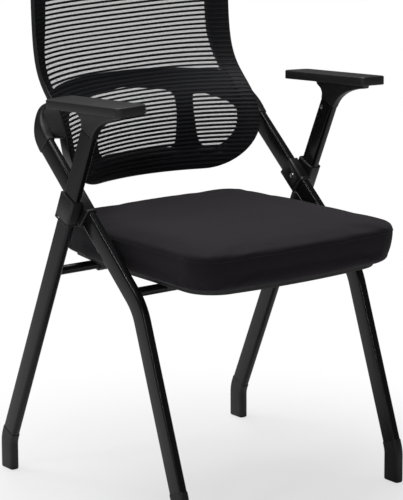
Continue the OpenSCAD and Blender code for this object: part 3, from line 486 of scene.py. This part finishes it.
def outline_stations():
    """The back's outline as places with their inward directions, all the way round."""
    half = []
    for centre, r, start in ((low_centre, low_r, -90), (high_centre, high_r, 0)):
        for i in range(corner_steps + 1):
            a = radians(start + 90 * i / corner_steps)
            way = Vector((cos(a), sin(a)))
            half.append((centre + r * way, -way))
        if start < 0:
            foot, head = half[-1][0], Vector((high_centre.x + high_r, high_centre.y))
            half += [(foot + (head - foot) * i / side_steps, Vector((-1, 0))) for i in range(1, side_steps)]
    top = half[-1][0]
    level = [(top + (Vector((-top.x, top.y)) - top) * i / level_steps, Vector((0, -1)))
             for i in range(1, level_steps)]
    other = list(zip(mirrored([p for p, _ in half]), mirrored([way for _, way in half])))
    foot = [(Vector((half[0][0].x * (2 * i / level_steps - 1), back_low)), Vector((0, 1)))
            for i in range(1, level_steps)]
    return half + level + other + foot


rim_rings = []
for p, inward in outline_stations():
    wide, deep, e = band(p.y), rim(p.y), rim_edge
    turns = (pi / 2 * k / rim_round_steps for k in range(rim_round_steps + 1))
    quarter = [(e * (1 - cos(a)), e * (1 - sin(a))) for a in turns]
    across = [(e + (wide - 2 * e) * k / rim_flat_steps, 0) for k in range(1, rim_flat_steps)]
    front = quarter + across + [(wide - a, b) for a, b in quarter[::-1]]
    ring = []
    for inset, d in front + [(a, deep - b) for a, b in front[::-1]]:
        q = p + inset * inward
        ring.append((q.x, back_y(q.x, q.y) + d, q.y))
    rim_rings.append(ring)
finish(skin(rim_rings, closed=True), "back_rim", "front_frame", collar_nylon, "back_frame", slot="black_plastic")

# The cloth: strands 4.1 to 4.5 mm wide, 7.2 mm apart low down and 8.5 mm higher up, knitted of black polyester.
# Between them run sheer threads, so fine that the gaps look pale grey against the light.
mesh_pitch, mesh_close, close_z, close_soft = 0.0085, 0.00135, 0.632, 0.035
strand_h, strand_more, strand_t, strand_square = 0.0041, 0.0004, 0.0012, 0.6
strand_lean, strand_arch, lean_fade = 0.025, 0.0025, 0.05
selvedge, cloth_gap, cloth_margin = 0.0025, 0.0003, 0.004
strand_steps, ring_points = 48, 8
thread_pitch, thread_w, thread_rows = 0.0013, 0.00071, 26
thread_front, thread_back = strand_t * 0.5, strand_t * 0.6


def lean_at(z):
    """How far the back's middle leans at a height."""
    return atan2(back_y(0, z + 0.001) - back_y(0, z), 0.001)


def closeness(z):
    """1 low down, where the strands are close and broad, and 0 higher up."""
    return 1 - soft_step(z - close_z, close_soft)


def on_cloth(share, z, deep):
    """A place on the cloth: share from -1 to 1 across it, at a height, set back from its face."""
    z = min(max(z, back_low + cloth_margin), back_high - cloth_margin)
    rise = strand_lean * share * half_at(z, selvedge) + strand_arch * (1 - share * share)
    z += rise * min(1, (z - back_low) / lean_fade, (back_high - z) / lean_fade)
    x = share * half_at(z, selvedge)
    return Vector((x, back_y(x, z) - cloth_gap - strand_t + deep, z))


def join(whole, bm):
    """Adds a skin to a whole."""
    part = bpy.data.meshes.new("part")
    bm.to_mesh(part)
    bm.free()
    whole.from_mesh(part)
    bpy.data.meshes.remove(part)


# Knitted polyester: small loops and a fuzz, dull and nearly black.
knit, tree, place = start_material("knitted black polyester")
loops = add(tree, "ShaderNodeTexVoronoi", {"Vector": place, "Scale": 1 / 0.0011, "Randomness": 0.5})
fuzz = noise(tree, place, 0.0007, 2.0)
height = add(tree, "ShaderNodeMath", {0: loops.outputs["Distance"], 1: fuzz}, operation="ADD").outputs[0]
shade(tree, tint(tree, fuzz, "#101115", "#1b1c22"), 0.62,
      {"Normal": relief(tree, height, 0.4, 0.0003), "Specular IOR Level": 0.3})

strand_places = [back_low + mesh_pitch + cloth_gap]
while strand_places[-1] < back_high - 2 * mesh_pitch:
    pitch = mesh_pitch - mesh_close * closeness(strand_places[-1])
    strand_places.append(strand_places[-1] + pitch * cos(lean_at(strand_places[-1])))

cloth = bmesh.new()
for z in strand_places:
    tall = strand_h + strand_more * closeness(z)
    rings = []
    for i in range(strand_steps + 1):
        ring = []
        for a in (2 * pi * k / ring_points for k in range(ring_points)):
            flat = tall / 2 * cos(lean_at(z)) * (abs(cos(a)) ** strand_square) * (1 if cos(a) > 0 else -1)
            ring.append(on_cloth(2 * i / strand_steps - 1, z + flat, strand_t / 2 * (1 + sin(a))))
        rings.append(ring)
    join(cloth, skin(rings))
strands = finish(cloth, "strands", "front_frame", knit, "back_mesh", sharp=50, slot="mesh_cloth")

sheer = bmesh.new()
thread_count = int(2 * (back_half - selvedge) / thread_pitch)
half = thread_w / 2 / back_half
for i in range(thread_count):
    share = 2 * (i + 0.5) / thread_count - 1
    rings = []
    for k in range(thread_rows + 1):
        z = strand_places[0] + (strand_places[-1] - strand_places[0]) * k / thread_rows
        rings.append([on_cloth(share - half, z, thread_front), on_cloth(share + half, z, thread_front),
                      on_cloth(share, z, thread_back)])
    join(sheer, skin(rings))
threads = finish(sheer, "sheer_threads", "front_frame", knit, sharp=50, slot="mesh_cloth")

# The lumbar plate: a thin moulded shell behind the cloth, with three windows, further back in the middle.
# The same nylon as the rim; the windows have round corners.
plate_t, plate_gap, plate_close, plate_tuck, plate_top, plate_arch = 0.0035, 0.038, 0.0235, 0.030, 0.684, 0.013
plate_square, plate_clear, plate_cell = 4, 0.0003, 0.007
plate_steps, head_steps, head_clear = 24, 30, 0.002
sill_h, head_h, bar_w, window_edge = 0.014, 0.036, 0.037, 0.004
window_foot_half, window_head_half = 0.083, 0.098
window_round, side_window_round = 0.016, 0.026
plate_foot = back_low + band(back_low) + plate_clear
window_z, window_head = plate_foot + sill_h, plate_top - head_h
window_h = window_head - window_z


def plate_half(z):
    """Half the plate's width at a height, up to the rim."""
    return half_at(z, band(z) + plate_clear)


def plate_y(x, z):
    """The plate's surface: it stands off behind the cloth and closes on it above and below the windows."""
    above = max(0, z - window_head) / (plate_top - window_head)
    below = max(0, window_z - z) / (window_z - plate_foot)
    gap = plate_gap - plate_close * above - plate_tuck * below
    return back_y(x, z) + gap * (1 - min(1, abs(x) / back_half) ** plate_square)


def rounded(points, r, n):
    """An outline with each corner drawn round."""
    found = []
    for i, b in enumerate(points):
        a, c = points[i - 1], points[(i + 1) % len(points)]
        start = b + (a - b).normalized() * min(r, (a - b).length / 2)
        end = b + (c - b).normalized() * min(r, (c - b).length / 2)
        found += curve(start, b, end, n)[:-1 if (c - b).length <= 2 * r else None]
    return found


middle_window = [Vector(p) for p in (
    (-window_foot_half, window_z), (window_foot_half, window_z), (window_head_half, window_head - plate_arch / 2),
    (0, window_head + plate_arch / 2), (-window_head_half, window_head - plate_arch / 2))]
bar_x = window_foot_half + bar_w
side_w = plate_half(low_centre.y) - window_edge - bar_x
side_window = [Vector((bar_x + a * side_w, window_z + b * window_h))
               for a, b in ((0.06, 0), (0, 0.55), (0.12, 0.92), (0.45, 0.88))]
side_window += [Vector((plate_half(z) - window_edge, z))
                for z in (window_z + s * window_h for s in (0.72, 0.5, 0.3, 0.14, 0))]
right_window = rounded(side_window, side_window_round, 6)
head = [Vector((x, plate_top - plate_arch * (x / back_half) ** 2))
        for x in (plate_half(plate_top) * (1 - 2 * i / head_steps) for i in range(head_steps + 1))]
levels = [plate_foot + (plate_top - plate_foot) * i / plate_steps for i in range(plate_steps)]
edge_right = [Vector((plate_half(z), z)) for z in levels]
edge_right = [p for p in edge_right if p.y < head[0].y - head_clear]
bm = bmesh.new()
for outline in (edge_right + head + mirrored(edge_right), rounded(middle_window, window_round, 8), right_window,
                [Vector((-p.x, p.y)) for p in right_window]):
    corners = [bm.verts.new((p.x, 0, p.y)) for p in outline]
    for pair in zip(corners, corners[1:] + corners[:1]):
        bm.edges.new(pair)
bmesh.ops.remove_doubles(bm, verts=bm.verts, dist=0.00002)
bmesh.ops.triangle_fill(bm, edges=bm.edges, use_beauty=True, normal=(0, -1, 0))
for normal, low, high in ((Vector((1, 0, 0)), -back_half, back_half), (Vector((0, 0, 1)), plate_foot, plate_top)):
    at = low
    while at < high:
        at += plate_cell
        every = bm.verts[:] + bm.edges[:] + bm.faces[:]
        bmesh.ops.bisect_plane(bm, geom=every, plane_co=normal * at, plane_no=normal)
for v in bm.verts:
    v.co.y = plate_y(v.co.x, v.co.z)
bmesh.ops.dissolve_degenerate(bm, dist=0.00001, edges=bm.edges)
plate = finish(bm, "plate", "front_frame", collar_nylon, "lumbar_plate", slot="black_plastic")
shell = plate.modifiers.new("wall", "SOLIDIFY")
shell.thickness, shell.offset = plate_t, -1

# The brackets: moulded nylon horns. Each sleeves the end of a front tube, bends up and in to the rail and is joined
# to it by a web, where two screws hold it. A section has its front and rear edge and how far in and out it reaches.
horn = [((0.1430, 0.6019), (0.1672, 0.5741), 0.2206, 0.2384), ((0.1438, 0.6026), (0.1680, 0.5748), 0.2206, 0.2384),
        ((0.1500, 0.6085), (0.1815, 0.5890), 0.2206, 0.2384), ((0.1560, 0.6160), (0.1880, 0.6020), 0.2195, 0.2382),
        ((0.1640, 0.6240), (0.1900, 0.6165), 0.2180, 0.2372), ((0.1740, 0.6350), (0.1930, 0.6305), 0.2140, 0.2325),
        ((0.1790, 0.6450), (0.1950, 0.6430), 0.2080, 0.2260), ((0.1780, 0.6530), (0.1950, 0.6510), 0.2080, 0.2185),
        ((0.1740, 0.6610), (0.1880, 0.6560), 0.2080, 0.2125)]
horn_round, web_sunk, web_reach, web_margin = 0.55, 0.002, 0.018, 0.15
web_heights, web_shares = (0.600, 0.615, 0.630, 0.645, 0.660), (0, 0.1, 0.35, 0.65, 0.9, 1)


def horn_ring(side, front, rear, inner_x, outer_x, turns=3):
    """A rounded section of a horn between its front and rear edges."""
    front, rear = Vector(front), Vector(rear)
    half_w, half_d = (outer_x - inner_x) / 2, (rear - front).length / 2
    r = horn_round * min(half_w, half_d)
    way = (rear - front).normalized()
    ring = []
    for across, deep in round_box(half_w - r, half_d - r, r, turns):
        place = (front + rear) / 2 + way * deep
        ring.append((side * ((inner_x + outer_x) / 2 + across), place.x, place.y))
    return ring


# The web runs from the rail to the five sections in the horn's bend.
rail_edges = [(Vector((rail_y(z), z)), Vector((rail_y(z) + rim(z), z))) for z in web_heights]
horn_edges = [(Vector(front).lerp(Vector(rear), web_margin), Vector(front).lerp(Vector(rear), 1 - web_margin))
              for front, rear, _, _ in horn[2:7]]
for side, word in hands:
    bm = skin([horn_ring(side, *section) for section in horn])
    web_rings = []
    for share in web_shares:
        edges = [(f.lerp(g, share), r.lerp(s, share)) for (f, r), (g, s) in zip(rail_edges, horn_edges)]
        x = side * (back_half - web_sunk + share * web_reach)
        web_rings.append([(x, p.x, p.y) for p, _ in edges] + [(x, p.x, p.y) for _, p in edges[::-1]])
    join(bm, skin(web_rings))
    bracket = finish(bm, "bracket_" + word, "front_frame", collar_nylon, "back_bracket_" + word,
                     sharp=180, slot="black_plastic")
    rounded_off = bracket.modifiers.new("moulded", "SUBSURF")
    rounded_off.levels = rounded_off.render_levels = 2
soften("back_screws", zinc)

# The seat: a foam cushion in a black woven cover on a plain board, hinged on the rear cross tube.
# The cover is cut as a top panel and a boxing, joined by a seam round the upper edge.
seat_half, seat_rear_half, seat_front, seat_rear, seat_bow = 0.216, 0.200, -0.2705, 0.185, 0.008
seat_front_r, seat_rear_r, taper_power = 0.056, 0.038, 1.5
cushion_low, cushion_h, cushion_crown, cushion_tuck = 0.4003, 0.0638, 0.0065, 0.017
rear_droop, droop_start = 0.0055, -0.1
cushion_side = ((0, 1.3), (0, 1), (0.06, 0.6), (0.16, 0.36), (0.3, 0.2), (0.5, 0.08), (0.7, 0.02), (0.84, 0),
                (0.93, 0.06), (0.98, 0.2), (1, 0.42))
crown_shares = (0.94, 0.86, 0.75, 0.6, 0.45, 0.3, 0.15, 0.05)
padding_inset, cushion_cell, hold_h, pressure, sim_steps, swell_cap = -0.0015, 0.0055, 0.006, 4, 20, 0.004
front_corner = Vector((seat_half - seat_front_r, seat_front + seat_bow + seat_front_r))
rear_corner = Vector((seat_rear_half - seat_rear_r, seat_rear - seat_rear_r))


def seat_outline(inset, turns=12, steps=24):
    """The seat's outline from above, all the way round, less an inset that keeps the front corners as round."""
    right, turn = [], front_corner + inset * Vector((-1, 1))
    for i in range(turns + 1):
        a = radians(-90 + 90 * i / turns)
        right.append(turn + seat_front_r * Vector((cos(a), sin(a))))
    for i in range(1, steps):
        y = turn.y + (rear_corner.y - turn.y) * i / steps
        draw = max(0, y / rear_corner.y) ** taper_power
        right.append(Vector((seat_half - inset - (seat_half - seat_rear_half) * draw, y)))
    for i in range(turns + 1):
        a = radians(90 * i / turns)
        right.append(rear_corner + (seat_rear_r - inset) * Vector((cos(a), sin(a))))
    rear = [Vector((right[-1].x * (1 - 2 * i / steps), right[-1].y)) for i in range(1, steps)]
    front = [Vector((turn.x * u, seat_front + inset + seat_bow * u * u))
             for u in (2 * i / steps - 1 for i in range(1, steps))]
    return right + rear + mirrored(right) + front


def droop(x, y):
    """How far the top hangs at a place: most at the rear corners, nothing in the middle and at the front."""
    return rear_droop * max(0, (y - droop_start) / (seat_rear - droop_start)) * (x / seat_rear_half) ** 2


def cushion_rings(shrink):
    """Rings up the side of the cushion and in over its crown."""
    rings = []
    for up, draw in cushion_side:
        rings.append([(p.x, p.y, cushion_low + (cushion_h - droop(p.x, p.y)) * up)
                      for p in seat_outline(shrink + cushion_tuck * draw)])
    edge = seat_outline(shrink + cushion_tuck * cushion_side[-1][1])
    middle = Vector((0, (seat_front + seat_rear) / 2))
    for share in crown_shares:
        rise = cushion_low + cushion_h + (cushion_crown - shrink) * (1 - share ** 4)
        rings.append([(q.x, q.y, rise - droop(q.x, q.y)) for q in (middle + share * (p - middle) for p in edge)])
    return rings


def as_shown(thing):
    """The mesh that an object's modifiers make."""
    return bpy.data.meshes.new_from_object(thing.evaluated_get(bpy.context.evaluated_depsgraph_get()))


# Woven polyester upholstery: hard-wearing, matt and almost black, with a weave about 1.7 mm across.
# The real weave is finer; it is drawn at a size that shows.
upholstery, tree, place = start_material("woven black upholstery")
cells = add(tree, "ShaderNodeTexVoronoi", {"Vector": place, "Scale": 1 / 0.0017, "Randomness": 0.6})
weave, cloudy = cells.outputs["Distance"], noise(tree, place, 0.03, 4.0)
mottle = add(tree, "ShaderNodeMath", {0: weave, 1: cloudy}, operation="MULTIPLY").outputs[0]
shade(tree, tint(tree, mottle, "#120d14", "#231c26"), 0.85,
      {"Normal": relief(tree, weave, 0.5, 0.0004), "Sheen Weight": 0.06, "Sheen Roughness": 0.5,
       "Specular IOR Level": 0.3})

# The cushion's foam swells against the cover: a cloth simulation with pressure, held along the board.
cushion = finish(skin(cushion_rings(padding_inset)), "cushion", "seat", upholstery, "seat_cushion",
                 sharp=80, slot="seat_cloth")
remesh = cushion.modifiers.new("even", "REMESH")
remesh.mode, remesh.voxel_size = "VOXEL", cushion_cell
even = as_shown(cushion)
cushion.modifiers.remove(remesh)
cushion.data = even
start_places = [v.co.copy() for v in even.vertices]
hold = cushion.vertex_groups.new(name="hold")
hold.add([v.index for v in even.vertices if v.co.z < cushion_low + hold_h], 1.0, "REPLACE")
stuffing = cushion.modifiers.new("stuffing", "CLOTH")
stuffing.settings.use_pressure, stuffing.settings.uniform_pressure_force = True, pressure
stuffing.settings.effector_weights.gravity = 0
stuffing.settings.vertex_group_mass = "hold"
stuffing.settings.quality = 5
for step in range(1, sim_steps + 1):
    bpy.context.scene.frame_set(step)
swollen = as_shown(cushion)
cushion.modifiers.remove(stuffing)
cushion.data = swollen
for v, rest in zip(swollen.vertices, start_places):
    moved = v.co - rest
    if moved.length > swell_cap:
        v.co = rest + moved * (swell_cap / moved.length)
bpy.context.scene.frame_set(1)
swollen.materials.clear()
swollen.materials.append(upholstery)
swollen.shade_smooth()
smooth = cushion.modifiers.new("even out", "SMOOTH")
smooth.factor, smooth.iterations = 0.5, 1
finer = cushion.modifiers.new("finer", "SUBSURF")
finer.levels = finer.render_levels = 1

# The seam between the top panel and the boxing: a fine welt that follows the cushion's upper edge.
seam_r, seam_share, seam_sink, seam_out, seam_turns = 0.001, 0.84, 0.0002, 0.004, 6
cover = BVHTree.FromObject(cushion, bpy.context.evaluated_depsgraph_get())
seam_line = []
for p in seat_outline(padding_inset - seam_out):
    place, way, _, _ = cover.find_nearest(Vector((p.x, p.y, cushion_low + cushion_h * seam_share)))
    seam_line.append((place - seam_sink * way, way))
seam_rings = []
for i, (place, way) in enumerate(seam_line):
    along = (seam_line[(i + 1) % len(seam_line)][0] - seam_line[i - 1][0]).normalized()
    across = along.cross(way).normalized()
    turns = (2 * pi * k / seam_turns for k in range(seam_turns))
    seam_rings.append([tuple(place + seam_r * (cos(a) * way + sin(a) * across)) for a in turns])
finish(skin(seam_rings, closed=True), "cushion_seam", "seat", upholstery, sharp=180, slot="seat_cloth")

# Plain black-stained board under the foam, with its lower edge broken, and what ties it to the cross tubes.
pan_low, pan_t, pan_inset, pan_round = 0.392, 0.008, 0.0245, 0.0015
board, tree, place = start_material("black laminated board")
shade(tree, tint(tree, noise(tree, place, 0.01, 3.0), "#1b1b1b", "#232323"), 0.6, {})
pan_rings = [[(p.x, p.y, pan_low + up) for p in seat_outline(pan_inset + draw)]
             for up, draw in ((0, pan_round), (0.3 * pan_round, 0.3 * pan_round), (pan_round, 0), (pan_t, 0))]
finish(skin(pan_rings), "board", "seat", board, "seat_pan", slot="pan_board")
for _, word in hands:
    soften("seat_hinge_" + word, collar_nylon, 0.0006)
    soften("seat_rest_" + word, collar_nylon, 0.0006)
soften("seat_screws", zinc, 0.0003)
